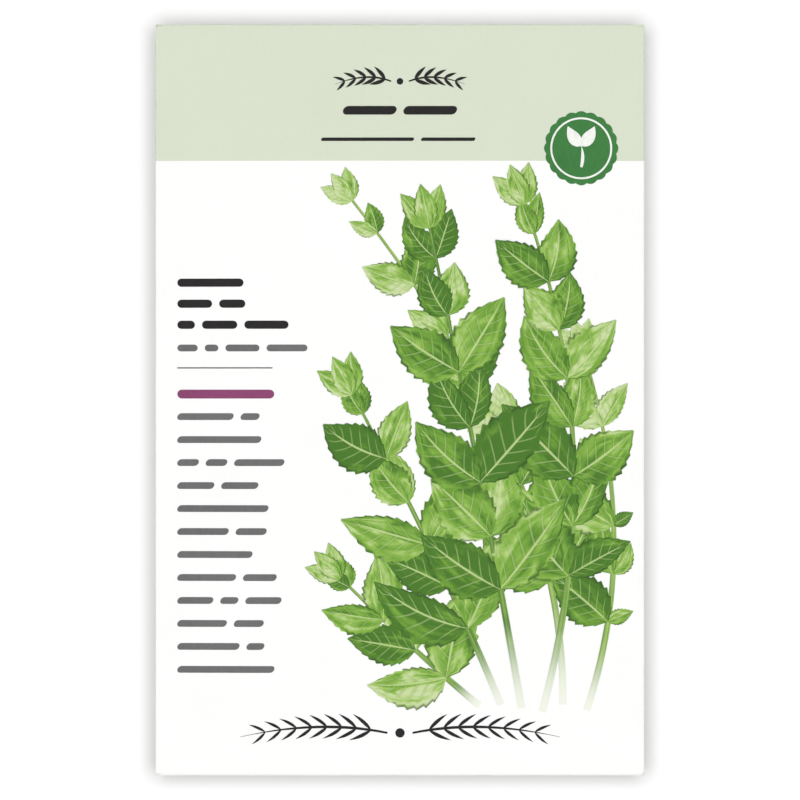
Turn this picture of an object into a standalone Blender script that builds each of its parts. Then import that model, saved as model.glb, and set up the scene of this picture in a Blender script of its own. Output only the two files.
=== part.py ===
"""Sealed paper seed packet, lying on its back with the printed front up.

Metres, +Z up. The origin is on the surface that the packet rests on, under the middle of its outline.
+X is the front's right side and +Y its top. One sheet of paper is cut to a cross-shaped blank and folded:
front panel, back panel round the right edge, a seam flap round the left edge, a bottom flap and a top flap.
Glue strips hold the three flaps, and loose seeds lie between the panels.
"""

import math
import random

import bmesh
import bpy
from mathutils import Euler, Vector

MM = 0.001

# Outline and paper
PACKET_WIDTH = 82.6 * MM
PACKET_HEIGHT = 127.0 * MM
PAPER = 0.20 * MM
GLUE = 0.10 * MM
PLY_PITCH = 0.40 * MM  # from the middle of one glued ply to the middle of the next

# The flaps, measured from the fold to the free edge, and how far their ends are cut in
SEAM_FLAP = 11.0 * MM
BOTTOM_FLAP = 14.0 * MM
TOP_FLAP = 18.0 * MM
FLAP_TAPER = 4.0 * MM
FOLD_TAPER = 0.3 * MM
BACK_TO_FOLD = 0.8 * MM  # from the packet's end to the end of the back panel inside it
BACK_TO_SIDE = 0.5 * MM  # from the packet's left side to the back panel's free edge

# The pillow shape that the seeds give it
BACK_RIM = 1.5 * MM  # height of the back panel's middle ply at the outline
BACK_DIP = 1.4 * MM
FLAT_SPOT = (18.0 * MM, -26.0 * MM, 10.0 * MM)  # half width, lowest y and highest y
FRONT_RIM = BACK_RIM + 2 * PLY_PITCH
FRONT_RISE = 1.6 * MM
CROWN_Y = -10.0 * MM  # the front stands highest a little below the middle, over the seeds

# Glue strips: how far they stay from the fold, from the flap's free edge and from its two ends
GLUE_FROM_FOLD = 3.0 * MM
GLUE_FROM_EDGE = 2.5 * MM
GLUE_FROM_END = 7.0 * MM

# One seed: length, width and height, and how far it strays from them and from its place
SEED_SIZE = (3.1 * MM, 1.7 * MM, 1.35 * MM)
SEED_SIZE_SPREAD = 0.14
SEED_NARROWING = 0.25  # how much narrower the tip is than the middle, per half length
SEED_TILT = 0.12  # radians
SEED_STRAY = 0.5 * MM
RANDOM_SEED = 11

# The heap of seeds
SEED_COUNT = 124
HEAP_CENTRE = (0.0, -13.0 * MM)
HEAP_RADII = (16.5 * MM, 15.0 * MM)
HEAP_SLOPE = 1.5  # 2 makes the heap's top round, and 1 makes it a cone
SPIRAL_SHARE = 0.88  # how far out the last seeds' middles lie
SEED_CLEARANCE = 0.15 * MM
TOP_SEED_DEPTH = 0.62 * SEED_SIZE[2]  # from the room's ceiling down to the middle of a seed under it
RIM_SEED_LIFT = 0.55 * SEED_SIZE[2]  # from the heap's floor up to the middle of a seed at its rim

# The packed core that the seeds are fused to
CORE_SHARE = 0.90  # its radii, as a share of the heap's
CORE_LIFT = 0.30 * SEED_SIZE[2]  # its lowest point over the heap's floor
CORE_DEPTH = 0.20 * SEED_SIZE[2]  # its top under the seeds' middles, and its least thickness

# Facets
FOLD_STEPS = 4
END_FOLD_STEPS = 6
FLAP_STEPS = 3
PANEL_COLUMNS = 16
PANEL_ROWS = 24
GLUE_FACET = 5.0 * MM
SHARP_ANGLE = math.radians(40)

# Where the flat part of the front ends and each fold begins
SIDE_RADIUS = PLY_PITCH
SEAM_RADIUS = PLY_PITCH / 2
END_RADIUS = PLY_PITCH * 1.5
FRONT_RIGHT = PACKET_WIDTH / 2 - PAPER / 2 - SIDE_RADIUS
FRONT_LEFT = -(PACKET_WIDTH / 2 - PAPER / 2 - SEAM_RADIUS)
FRONT_END = PACKET_HEIGHT / 2 - PAPER / 2 - END_RADIUS

PAPER_WHITE = (0.90, 0.90, 0.89, 1.0)
GLUE_AMBER = (0.82, 0.77, 0.62, 1.0)
SEED_BROWN = (0.33, 0.25, 0.14, 1.0)


def mix(start, end, share):
    return start + (end - start) * share


def front_height(x, y):
    """Height of the front panel's middle surface: a low dome that is highest over the seeds."""
    across = 1 - (2 * x / PACKET_WIDTH) ** 2
    reach = PACKET_HEIGHT / 2 + (CROWN_Y if y < CROWN_Y else -CROWN_Y)
    along = 1 - ((y - CROWN_Y) / reach) ** 2
    return FRONT_RIM + FRONT_RISE * max(0.0, across) * max(0.0, along)


def back_height(x, y):
    """Height of the back panel's middle surface: flat where it rests, and curving up to its rim."""
    half_width, low, high = FLAT_SPOT
    beyond_x = max(0.0, abs(x) - half_width) / (PACKET_WIDTH / 2 - half_width)
    if y > high:
        beyond_y = (y - high) / (PACKET_HEIGHT / 2 - high)
    else:
        beyond_y = max(0.0, low - y) / (PACKET_HEIGHT / 2 + low)
    return BACK_RIM - BACK_DIP * (1 - beyond_x**2) * (1 - beyond_y**2)


def fold_point(centre, radius, angle):
    """(distance out past the fold's centre line, height) of a point on a fold that starts on the front."""
    return centre + radius * math.sin(angle), FRONT_RIM - radius + radius * math.cos(angle)


def stations(zone, start, end, steps):
    """Evenly spaced places along one zone of the blank, leaving out the first."""
    return [(zone, mix(start, end, (i + 1) / steps)) for i in range(steps)]


def blank_columns():
    """The blank's grid lines from the seam flap's free edge to the back panel's free edge."""
    return (
        [("seam_flap", 1.0)]
        + stations("seam_flap", 1.0, 0.0, FLAP_STEPS)
        + stations("seam_fold", math.pi, 0.0, FOLD_STEPS)[:-1]
        + [("front", FRONT_LEFT)]
        + stations("front", FRONT_LEFT, FRONT_RIGHT, PANEL_COLUMNS)
        + stations("side_fold", 0.0, math.pi, FOLD_STEPS)[:-1]
        + [("back", 0.0)]
        + stations("back", 0.0, 1.0, PANEL_COLUMNS)
    )


def blank_rows():
    """The blank's grid lines from the bottom flap's free edge to the top flap's free edge."""
    return (
        [("bottom_flap", 1.0)]
        + stations("bottom_flap", 1.0, 0.0, FLAP_STEPS)
        + stations("bottom_fold", math.pi, 0.0, END_FOLD_STEPS)[:-1]
        + [("front", -FRONT_END)]
        + stations("front", -FRONT_END, FRONT_END, PANEL_ROWS)
        + stations("top_fold", 0.0, math.pi, END_FOLD_STEPS)[:-1]
        + [("top_flap", 0.0)]
        + stations("top_flap", 0.0, 1.0, FLAP_STEPS)
    )


def side_point(zone, place, y):
    """A point left or right of the front panel, on the row that meets the front at y."""
    back_share = (PACKET_HEIGHT / 2 - BACK_TO_FOLD) / FRONT_END
    if zone == "side_fold":
        x, z = fold_point(FRONT_RIGHT, SIDE_RADIUS, place)
        return Vector((x, y * mix(1.0, back_share, place / math.pi), z))
    if zone == "back":
        x = mix(FRONT_RIGHT, -PACKET_WIDTH / 2 + BACK_TO_SIDE, place)
        return Vector((x, y * back_share, back_height(x, y * back_share)))
    cut_in = (FRONT_END - FOLD_TAPER) / FRONT_END
    if zone == "seam_fold":
        x, z = fold_point(-FRONT_LEFT, SEAM_RADIUS, place)
        return Vector((-x, y * mix(1.0, cut_in, place / math.pi), z))
    x = FRONT_LEFT + SEAM_FLAP * place
    y *= mix(cut_in, (FRONT_END - FLAP_TAPER) / FRONT_END, place)
    return Vector((x, y, back_height(x, y) + PLY_PITCH))


def end_point(zone, place, x):
    """A point above or below the front panel, on the column that meets the front at x."""
    way = 1 if zone.startswith("top") else -1
    cut_in = (FRONT_RIGHT - FOLD_TAPER) / FRONT_RIGHT
    if zone.endswith("fold"):
        y, z = fold_point(FRONT_END, END_RADIUS, place)
        return Vector((x * mix(1.0, cut_in, place / math.pi), way * y, z))
    flap = TOP_FLAP if zone == "top_flap" else BOTTOM_FLAP
    x *= mix(cut_in, (FRONT_RIGHT - FLAP_TAPER) / FRONT_RIGHT, place)
    y = way * (FRONT_END - flap * place)
    return Vector((x, y, back_height(x, y) - PLY_PITCH))


def folded(column, row):
    """Where a crossing of the blank's grid lines lies once the sheet is folded."""
    if row[0] == column[0] == "front":
        return Vector((column[1], row[1], front_height(column[1], row[1])))
    if row[0] == "front":
        return side_point(*column, row[1])
    return end_point(*row, column[1])


def grid_index(value, steps):
    return round((value + 0.5) * steps)


def unit_grid(columns, rows):
    """A bmesh grid one unit across, with that many faces each way."""
    mesh = bmesh.new()
    bmesh.ops.create_grid(mesh, x_segments=columns, y_segments=rows, size=0.5)
    return mesh


def material(name, colour, roughness):
    made = bpy.data.materials.new(name)
    made.use_nodes = True
    shader = made.node_tree.nodes["Principled BSDF"]
    shader.inputs["Base Color"].default_value = colour
    shader.inputs["Roughness"].default_value = roughness
    shader.inputs["Metallic"].default_value = 0.0
    made.diffuse_color = colour
    return made


def add_object(name, mesh, finish, collection):
    """A named object from a bmesh, with its material, in a collection."""
    data = bpy.data.meshes.new(name)
    mesh.to_mesh(data)
    mesh.free()
    data.materials.append(finish)
    made = bpy.data.objects.new(name, data)
    collection.objects.link(made)
    return made


def thicken(sheet, thickness):
    """Gives an open sheet its thickness, half to each side."""
    solidify = sheet.modifiers.new("thickness", "SOLIDIFY")
    solidify.thickness = thickness
    solidify.offset = 0.0
    solidify.use_even_offset = True


def is_front_span(lines, index):
    """Whether the span from this grid line to the next lies on the front panel."""
    return lines[index][0] == "front" and lines[index + 1][0] == "front"


def paper_packet(collection, finish):
    """The sheet: a flat grid cut to the blank's cross shape, folded, and given the paper's thickness."""
    columns, rows = blank_columns(), blank_rows()
    across, along = len(columns) - 1, len(rows) - 1
    mesh = unit_grid(across, along)
    corners = []
    for face in mesh.faces:
        centre = face.calc_center_median()
        column = math.floor((centre.x + 0.5) * across)
        row = math.floor((centre.y + 0.5) * along)
        if not is_front_span(columns, column) and not is_front_span(rows, row):
            corners.append(face)
    bmesh.ops.delete(mesh, geom=corners, context="FACES")
    for vertex in mesh.verts:
        column = columns[grid_index(vertex.co.x, across)]
        row = rows[grid_index(vertex.co.y, along)]
        vertex.co = folded(column, row)
    packet = add_object("paper_packet", mesh, finish, collection)
    thicken(packet, PAPER)


def glue_strip(name, x_span, y_span, side, collection, finish):
    """A thin strip between the back panel and a flap: side is 1 inside the packet and -1 under it."""
    columns = max(2, round((x_span[1] - x_span[0]) / GLUE_FACET))
    rows = max(2, round((y_span[1] - y_span[0]) / GLUE_FACET))
    mesh = unit_grid(columns, rows)
    for vertex in mesh.verts:
        x = mix(*x_span, vertex.co.x + 0.5)
        y = mix(*y_span, vertex.co.y + 0.5)
        vertex.co = Vector((x, y, back_height(x, y) + side * PLY_PITCH / 2))
    strip = add_object(name, mesh, finish, collection)
    thicken(strip, GLUE)


def glue_strips(collection, finish):
    """The side seam's strip lies inside the packet, and the two end flaps' strips lie under it."""
    side = PACKET_WIDTH / 2
    end = PACKET_HEIGHT / 2
    glue_strip(
        "side_seam_glue",
        (-side + GLUE_FROM_FOLD, -side + SEAM_FLAP - GLUE_FROM_EDGE),
        (-end + GLUE_FROM_END, end - GLUE_FROM_END),
        1,
        collection,
        finish,
    )
    across = (-side + GLUE_FROM_END, side - GLUE_FROM_END)
    bottom = (-end + GLUE_FROM_FOLD, -end + BOTTOM_FLAP - GLUE_FROM_EDGE)
    top = (end - TOP_FLAP + GLUE_FROM_EDGE, end - GLUE_FROM_FOLD)
    glue_strip("bottom_flap_glue", across, bottom, -1, collection, finish)
    glue_strip("top_flap_glue", across, top, -1, collection, finish)


def heap_floor():
    """Height of the lowest point that a seed may reach."""
    return PAPER + SEED_CLEARANCE


def heap_top(x, y):
    """Height of the top seeds' middles: a low dome that leaves room for them under the front."""
    dx = (x - HEAP_CENTRE[0]) / HEAP_RADII[0]
    dy = (y - HEAP_CENTRE[1]) / HEAP_RADII[1]
    away = min(1.0, dx * dx + dy * dy)
    ceiling = front_height(x, y) - PAPER / 2 - SEED_CLEARANCE
    return mix(ceiling - TOP_SEED_DEPTH, heap_floor() + RIM_SEED_LIFT, away**HEAP_SLOPE)


def heap_core(collection, finish):
    """The packed middle of the heap, which the seeds stand out of: a flattened sphere of few faces."""
    mesh = bmesh.new()
    bmesh.ops.create_uvsphere(mesh, u_segments=16, v_segments=6, radius=1.0)
    low = heap_floor() + CORE_LIFT
    for vertex in mesh.verts:
        share = (vertex.co.z + 1) / 2
        x = HEAP_CENTRE[0] + vertex.co.x * HEAP_RADII[0] * CORE_SHARE
        y = HEAP_CENTRE[1] + vertex.co.y * HEAP_RADII[1] * CORE_SHARE
        high = max(low + CORE_DEPTH, heap_top(x, y) - CORE_DEPTH)
        vertex.co = Vector((x, y, mix(low, high, share)))
    return add_object("seeds", mesh, finish, collection)


def seed_places(draw):
    """(x, y) of each seed's middle, spread evenly over the heap along a golden-angle spiral."""
    golden_angle = math.pi * (3 - math.sqrt(5))
    for index in range(SEED_COUNT):
        share = SPIRAL_SHARE * math.sqrt((index + 0.5) / SEED_COUNT)
        angle = index * golden_angle
        x = HEAP_CENTRE[0] + HEAP_RADII[0] * share * math.cos(angle)
        y = HEAP_CENTRE[1] + HEAP_RADII[1] * share * math.sin(angle)
        yield x + draw.uniform(-SEED_STRAY, SEED_STRAY), y + draw.uniform(-SEED_STRAY, SEED_STRAY)


def seed(place, draw, collection, finish):
    """One seed: a long egg shape, narrower at one end, lying flat and turned at random."""
    mesh = bmesh.new()
    bmesh.ops.create_uvsphere(mesh, u_segments=6, v_segments=4, radius=0.5)
    size = 1 + draw.uniform(-SEED_SIZE_SPREAD, SEED_SIZE_SPREAD)
    for vertex in mesh.verts:
        width, height, length = vertex.co
        width *= 1 - SEED_NARROWING * length
        shape = Vector((length * SEED_SIZE[0], width * SEED_SIZE[1], height * SEED_SIZE[2]))
        vertex.co = shape * size
    bmesh.ops.recalc_face_normals(mesh, faces=mesh.faces)
    made = add_object("seed", mesh, finish, collection)
    made.rotation_euler = Euler((0.0, draw.uniform(-SEED_TILT, SEED_TILT), draw.uniform(0.0, math.tau)))
    made.location = place


def seeds(collection, finish):
    """All the seeds as one heap: a core with the seeds fused to it, so that they are one body."""
    draw = random.Random(RANDOM_SEED)
    heap = heap_core(collection, finish)
    loose = bpy.data.collections.new("loose_seeds")
    bpy.context.scene.collection.children.link(loose)
    for x, y in seed_places(draw):
        seed(Vector((x, y, heap_top(x, y))), draw, loose, finish)
    union = heap.modifiers.new("fuse", "BOOLEAN")
    union.operation = "UNION"
    union.operand_type = "COLLECTION"
    union.collection = loose
    union.solver = "EXACT"
    bpy.context.view_layer.update()
    graph = bpy.context.evaluated_depsgraph_get()
    fused = bpy.data.meshes.new_from_object(heap.evaluated_get(graph))
    heap.modifiers.clear()
    heap.data = fused
    for made in list(loose.objects):
        bpy.data.objects.remove(made)
    bpy.data.collections.remove(loose)


def clear_scene():
    for made in list(bpy.data.objects):
        bpy.data.objects.remove(made)


def shade(collection):
    """Rounds the look of the sheet's curves and keeps its cut edges sharp."""
    for made in collection.objects:
        made.data.shade_smooth()
        made.data.set_sharp_from_angle(angle=SHARP_ANGLE)


def main():
    clear_scene()
    packet = bpy.data.collections.new("seed_packet")
    bpy.context.scene.collection.children.link(packet)
    paper = material("paper", PAPER_WHITE, 0.55)
    glue = material("glue", GLUE_AMBER, 0.4)
    husk = material("seed", SEED_BROWN, 0.7)
    paper_packet(packet, paper)
    glue_strips(packet, glue)
    seeds(packet, husk)
    shade(packet)


main()
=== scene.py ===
"""Looks of a sealed paper seed packet: its folded sheet, its print, the glue and the seeds.

Metres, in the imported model's frame. The packet lies on its back, front up: +X is the front's right
side and +Y its top edge.
"""

import math
import random
from dataclasses import dataclass, field

import bmesh
import bpy
from mathutils import Matrix, Vector, noise


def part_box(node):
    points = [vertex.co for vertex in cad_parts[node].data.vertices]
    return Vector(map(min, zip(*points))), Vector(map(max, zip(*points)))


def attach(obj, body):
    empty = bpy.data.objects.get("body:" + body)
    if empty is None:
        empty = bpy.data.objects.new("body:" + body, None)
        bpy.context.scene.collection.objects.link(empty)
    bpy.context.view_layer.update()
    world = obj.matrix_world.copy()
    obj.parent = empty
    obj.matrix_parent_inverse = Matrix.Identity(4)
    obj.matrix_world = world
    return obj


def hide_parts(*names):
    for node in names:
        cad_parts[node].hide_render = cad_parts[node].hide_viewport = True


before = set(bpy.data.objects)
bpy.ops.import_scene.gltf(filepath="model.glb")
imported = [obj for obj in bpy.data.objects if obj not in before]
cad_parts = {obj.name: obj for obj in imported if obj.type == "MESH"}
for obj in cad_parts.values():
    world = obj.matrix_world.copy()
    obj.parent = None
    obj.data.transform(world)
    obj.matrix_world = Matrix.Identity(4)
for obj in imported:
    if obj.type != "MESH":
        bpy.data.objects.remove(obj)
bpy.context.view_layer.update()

MM = 0.001
RANDOM_SEED = 7
SHARP_ANGLE = math.radians(40)  # an edge that turns further than this isn't shaded smooth

# The sheet and its folds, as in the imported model
PACKET_LOW, PACKET_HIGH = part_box("paper_packet")
PACKET_WIDTH = PACKET_HIGH.x - PACKET_LOW.x
PACKET_HEIGHT = PACKET_HIGH.y - PACKET_LOW.y
PAPER = 0.20 * MM
PLY_PITCH = 0.40 * MM  # from the middle of one glued ply to the middle of the next
SEAM_FLAP = 11.0 * MM
BOTTOM_FLAP = 14.0 * MM
TOP_FLAP = 18.0 * MM
FLAP_TAPER = 4.0 * MM
FOLD_TAPER = 0.3 * MM
BACK_TO_FOLD = 0.8 * MM
BACK_TO_SIDE = 0.5 * MM
BACK_RIM = 1.5 * MM
BACK_DIP = 1.35 * MM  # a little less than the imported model's, so that the back's print clears the floor
FLAT_SPOT = (18.0 * MM, -26.0 * MM, 10.0 * MM)  # half width, lowest y and highest y
FRONT_RIM = BACK_RIM + 2 * PLY_PITCH
FRONT_RISE = 1.6 * MM
CROWN_Y = -10.0 * MM
SIDE_RADIUS = PLY_PITCH
SEAM_RADIUS = PLY_PITCH / 2
END_RADIUS = PLY_PITCH * 1.5
FRONT_RIGHT = PACKET_WIDTH / 2 - PAPER / 2 - SIDE_RADIUS
FRONT_LEFT = -(PACKET_WIDTH / 2 - PAPER / 2 - SEAM_RADIUS)
FRONT_END = PACKET_HEIGHT / 2 - PAPER / 2 - END_RADIUS

# What only the finished sheet has: an uneven front, and pressed folds that meet at the corners
BUCKLE = 0.06 * MM
BUCKLE_LENGTH = 16.0 * MM
FOLD_SQUASH = 2 / 3  # the lower, the squarer the folds
SMALL_ANGLE = 0.01
CORNER_REACH = 0.96  # how far a fold runs on to the corner, as a share of the other fold's radius
CORNER_GRIP = 12  # the higher, the closer to the corner a side fold begins to run on

# Facets of the finished sheet
PANEL_STEP = 1.5 * MM
SIDE_FOLD_STEPS = 8
END_FOLD_STEPS = 10

# Films of ink: how far they stand over the paper and reach into it, and one coat over another
INK_HEIGHT = 0.020 * MM
INK_SINK = 0.030 * MM
PAINT_STEP = 0.008 * MM
INK_FACET = 3.0 * MM
FILM_VALUES = ("along", "across", "tone")  # what each point of a film knows, for its paint
ROUND_END = [math.radians(angle) for angle in (4, 25, 45, 65, 90)]  # where a bar's end has its rows
RING_SHARES = (0.0, 0.35, 0.7, 1.0)  # where a ring has its rows, from the inner edge to the outer
RING_POINTS = 72
SCALLOP_POINTS = 6  # a ring's points for each of its scallops

# Places on the front, from its middle
HEADER_EDGE = 40.37 * MM
TITLE_Y = 53.8 * MM
NOTES_LEFT = -37.6 * MM
HEADING_Y = 19.8 * MM
HEADING_PITCH = 3.55 * MM
BODY_Y = -2.8 * MM
BODY_PITCH = 3.88 * MM
ART_LEFT = -16.5 * MM
ART_RIGHT = 39.6 * MM
SEAL_CENTRE = (30.6 * MM, 42.5 * MM)
SEAL_RADIUS = 6.3 * MM
FOOTER_Y = -56.2 * MM

# Places on the back, from its middle and with x to the right as it is read
BACK_LEFT = -34.0 * MM
BACK_WIDTH = 66.0 * MM
UPPER_NOTES_Y = 26.0 * MM
LOWER_NOTES_Y = -22.0 * MM
NOTE_PITCH = 3.2 * MM
SOIL_Y = -12.0 * MM
SOWN_Y = -15.0 * MM
SOWN_INDENT = 6.0 * MM
SOWN_PITCH = 13.5 * MM

# Ornaments: half the length of each and the length of its leaves
TITLE_ORNAMENT = (11.0 * MM, 3.3 * MM)
FOOTER_ORNAMENT = (27.0 * MM, 4.7 * MM)

# Bars that stand for words: their heights, how far a slanted one leans, and the gap between two words
BOLD_BAR = 1.38 * MM
BODY_BAR = 1.15 * MM
NOTE_BAR = 1.1 * MM
RULE_WIDTH = 0.22 * MM
LEAN = 0.3
WORD_GAP = 1.2 * MM

# Single lines: left end, width, y, and of a line of words also its height and the words' lengths
SUBTITLE = (-9.6 * MM, 19.2 * MM, 48.9 * MM, 1.46 * MM, (1, 1))
BYLINE = (-13.3 * MM, 26.0 * MM, 44.0 * MM, 0.58 * MM, (12, 7))
SEASON = (NOTES_LEFT, 22.0 * MM, 8.78 * MM, BODY_BAR, (3, 2, 5, 6))
NOTES_RULE = (NOTES_LEFT, 16.1 * MM, 5.42 * MM)
ACCENT = (NOTES_LEFT, 16.4 * MM, 1.0 * MM, 1.5 * MM, (1,))
BACK_HEADING = (BACK_LEFT, 30.0 * MM, 32.0 * MM, 2.0 * MM, (2, 3))

# Lines of words: how wide each line is, in millimetres, and its words' lengths beside each other
HEADING_LINES = ((11.2, (1,)), (11.5, (4, 3)), (18.8, (2, 4, 5)))
BODY_LINES = (
    (13.9, (6, 2)),
    (14.2, (1,)),
    (18.1, (3, 3, 7)),
    (13.7, (1, 1)),
    (15.4, (1,)),
    (15.1, (5, 3)),
    (12.7, (1,)),
    (16.8, (7, 4)),
    (17.6, (4, 2, 4)),
    (14.6, (5, 3)),
    (14.7, (7, 2)),
    (16.4, (1,)),
)


def mix(start, end, share):
    """A value between two others: start at share 0 and end at share 1."""
    return start + (end - start) * share


def spaced(start, end, step):
    """Evenly spaced values from start to end, about a step apart, with both ends."""
    count = max(1, round(abs(end - start) / step))
    return [mix(start, end, i / count) for i in range(count + 1)]


# Shape of the folded sheet, at the middle of its ply


def buckle(x, y):
    """Unevenness of the front panel, which dies out towards its edges."""
    free = max(0.0, 1 - (2 * x / PACKET_WIDTH) ** 2) * max(0.0, 1 - (2 * y / PACKET_HEIGHT) ** 2)
    return BUCKLE * free * noise.noise(Vector((x, y, 0.0)) / BUCKLE_LENGTH)


def front_height(x, y):
    """Height of the front panel: a low dome that is highest over the seeds."""
    across = 1 - (2 * x / PACKET_WIDTH) ** 2
    reach = PACKET_HEIGHT / 2 + (CROWN_Y if y < CROWN_Y else -CROWN_Y)
    along = 1 - ((y - CROWN_Y) / reach) ** 2
    return FRONT_RIM + FRONT_RISE * max(0.0, across) * max(0.0, along) + buckle(x, y)


def back_height(x, y):
    """Height of the back panel: flat where it rests, and curving up to its rim."""
    half_width, low, high = FLAT_SPOT
    beyond_x = max(0.0, abs(x) - half_width) / (PACKET_WIDTH / 2 - half_width)
    if y > high:
        beyond_y = (y - high) / (PACKET_HEIGHT / 2 - high)
    else:
        beyond_y = max(0.0, low - y) / (PACKET_HEIGHT / 2 + low)
    return BACK_RIM - BACK_DIP * (1 - beyond_x**2) * (1 - beyond_y**2)


def squashed(value):
    """A sine or cosine pushed outwards, which makes a circle squarer, as a pressed fold is."""
    return math.copysign(abs(value) ** FOLD_SQUASH, value)


def fold_point(centre, radius, angle):
    """(distance from the middle, height) of a point on a fold that starts on the front."""
    return (
        centre + radius * squashed(math.sin(angle)),
        FRONT_RIM - radius + radius * squashed(math.cos(angle)),
    )


def zone_lines(zone, start, end, steps):
    """The blank's grid lines along one zone, with both its ends."""
    return [(zone, mix(start, end, i / steps)) for i in range(steps + 1)]


def cut_back(place, share):
    """How much shorter a fold is there than on the front: not at all on its upper half."""
    return mix(1.0, share, max(0.0, 2 * place / math.pi - 1))


def blank_columns():
    """The blank's grid lines from the seam flap's free edge to the back panel's free edge."""
    panel_steps = round(PACKET_WIDTH / PANEL_STEP)
    return (
        zone_lines("seam_flap", 1.0, 0.0, round(SEAM_FLAP / PANEL_STEP))
        + zone_lines("seam_fold", math.pi, 0.0, SIDE_FOLD_STEPS)[1:-1]
        + zone_lines("front", FRONT_LEFT, FRONT_RIGHT, panel_steps)
        + zone_lines("side_fold", 0.0, math.pi, SIDE_FOLD_STEPS)[1:-1]
        + zone_lines("back", 0.0, 1.0, panel_steps)
    )


def blank_rows():
    """The blank's grid lines from the bottom flap's free edge to the top flap's free edge."""
    below = round((HEADER_EDGE + FRONT_END) / PANEL_STEP)
    above = round((FRONT_END - HEADER_EDGE) / PANEL_STEP)
    return (
        zone_lines("bottom_flap", 1.0, 0.0, round(BOTTOM_FLAP / PANEL_STEP))
        + zone_lines("bottom_fold", math.pi, 0.0, END_FOLD_STEPS)[1:-1]
        + zone_lines("front", -FRONT_END, HEADER_EDGE, below)
        + zone_lines("front", HEADER_EDGE, FRONT_END, above)[1:]
        + zone_lines("top_fold", 0.0, math.pi, END_FOLD_STEPS)[1:-1]
        + zone_lines("top_flap", 0.0, 1.0, round(TOP_FLAP / PANEL_STEP))
    )


def side_point(zone, place, y):
    """A point left or right of the front panel, on the row that meets the front at y."""
    back_share = (PACKET_HEIGHT / 2 - BACK_TO_FOLD) / FRONT_END
    if zone.endswith("fold"):
        grip = abs(y / FRONT_END) ** CORNER_GRIP
        y += math.copysign(grip, y) * CORNER_REACH * END_RADIUS * squashed(math.sin(place))
    if zone == "side_fold":
        x, z = fold_point(FRONT_RIGHT, SIDE_RADIUS, place)
        return Vector((x, y * cut_back(place, back_share), z))
    if zone == "back":
        x = mix(FRONT_RIGHT, -PACKET_WIDTH / 2 + BACK_TO_SIDE, place)
        return Vector((x, y * back_share, back_height(x, y * back_share)))
    cut_in = (FRONT_END - FOLD_TAPER) / FRONT_END
    if zone == "seam_fold":
        x, z = fold_point(-FRONT_LEFT, SEAM_RADIUS, place)
        return Vector((-x, y * cut_back(place, cut_in), z))
    x = FRONT_LEFT + SEAM_FLAP * place
    y *= mix(cut_in, (FRONT_END - FLAP_TAPER) / FRONT_END, place)
    return Vector((x, y, back_height(x, y) + PLY_PITCH))


def end_point(zone, place, x):
    """A point above or below the front panel, on the column that meets the front at x."""
    way = 1 if zone.startswith("top") else -1
    cut_in = (FRONT_RIGHT - FOLD_TAPER) / FRONT_RIGHT
    if zone.endswith("fold"):
        y, z = fold_point(FRONT_END, END_RADIUS, place)
        side = SIDE_RADIUS if x > 0 else SEAM_RADIUS
        x *= 1 + CORNER_REACH * side / FRONT_RIGHT * squashed(math.sin(place))
        return Vector((x * cut_back(place, cut_in), way * y, z))
    flap = TOP_FLAP if zone == "top_flap" else BOTTOM_FLAP
    x *= mix(cut_in, (FRONT_RIGHT - FLAP_TAPER) / FRONT_RIGHT, place)
    y = way * (FRONT_END - flap * place)
    return Vector((x, y, back_height(x, y) - PLY_PITCH))


def folded(column, row):
    """Where a crossing of the blank's grid lines lies once the sheet is folded."""
    if row[0] == column[0] == "front":
        return Vector((column[1], row[1], front_height(column[1], row[1])))
    if row[0] == "front":
        return side_point(*column, row[1])
    return end_point(*row, column[1])


def is_front_span(lines, index):
    """Whether the span from this grid line to the next lies on the front panel."""
    return lines[index][0] == lines[index + 1][0] == "front"


def is_tinted(column, next_column, row, next_row):
    """Whether a cell between two columns and two rows is tinted, like the header and the back."""
    if next_row[0].startswith("top"):
        return True
    if row[0] == next_row[0] == "front" and row[1] + next_row[1] > 2 * HEADER_EDGE:
        return True
    if next_column[0] == "back" or row[0] == "bottom_flap":
        return True
    turned = (row, next_row) if column[0] == next_column[0] == "front" else (column, next_column)
    angles = [place for zone, place in turned if zone.endswith("_fold")]
    return bool(angles) and min(angles) > math.pi / 2 - SMALL_ANGLE


def new_object(name, data):
    """An object with this data, in the scene."""
    made = bpy.data.objects.new(name, data)
    bpy.context.scene.collection.objects.link(made)
    return made


def mesh_object(name, mesh, finishes):
    """An object made from a bmesh, with its materials."""
    data = bpy.data.meshes.new(name)
    mesh.to_mesh(data)
    mesh.free()
    for finish in finishes:
        data.materials.append(finish)
    return new_object(name, data)


def add_piece(name, mesh, finishes):
    """A smooth piece that rides on the packet."""
    made = mesh_object(name, mesh, finishes)
    made.data.shade_smooth()
    made.data.set_sharp_from_angle(angle=SHARP_ANGLE)
    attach(made, "root")
    return made


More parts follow.
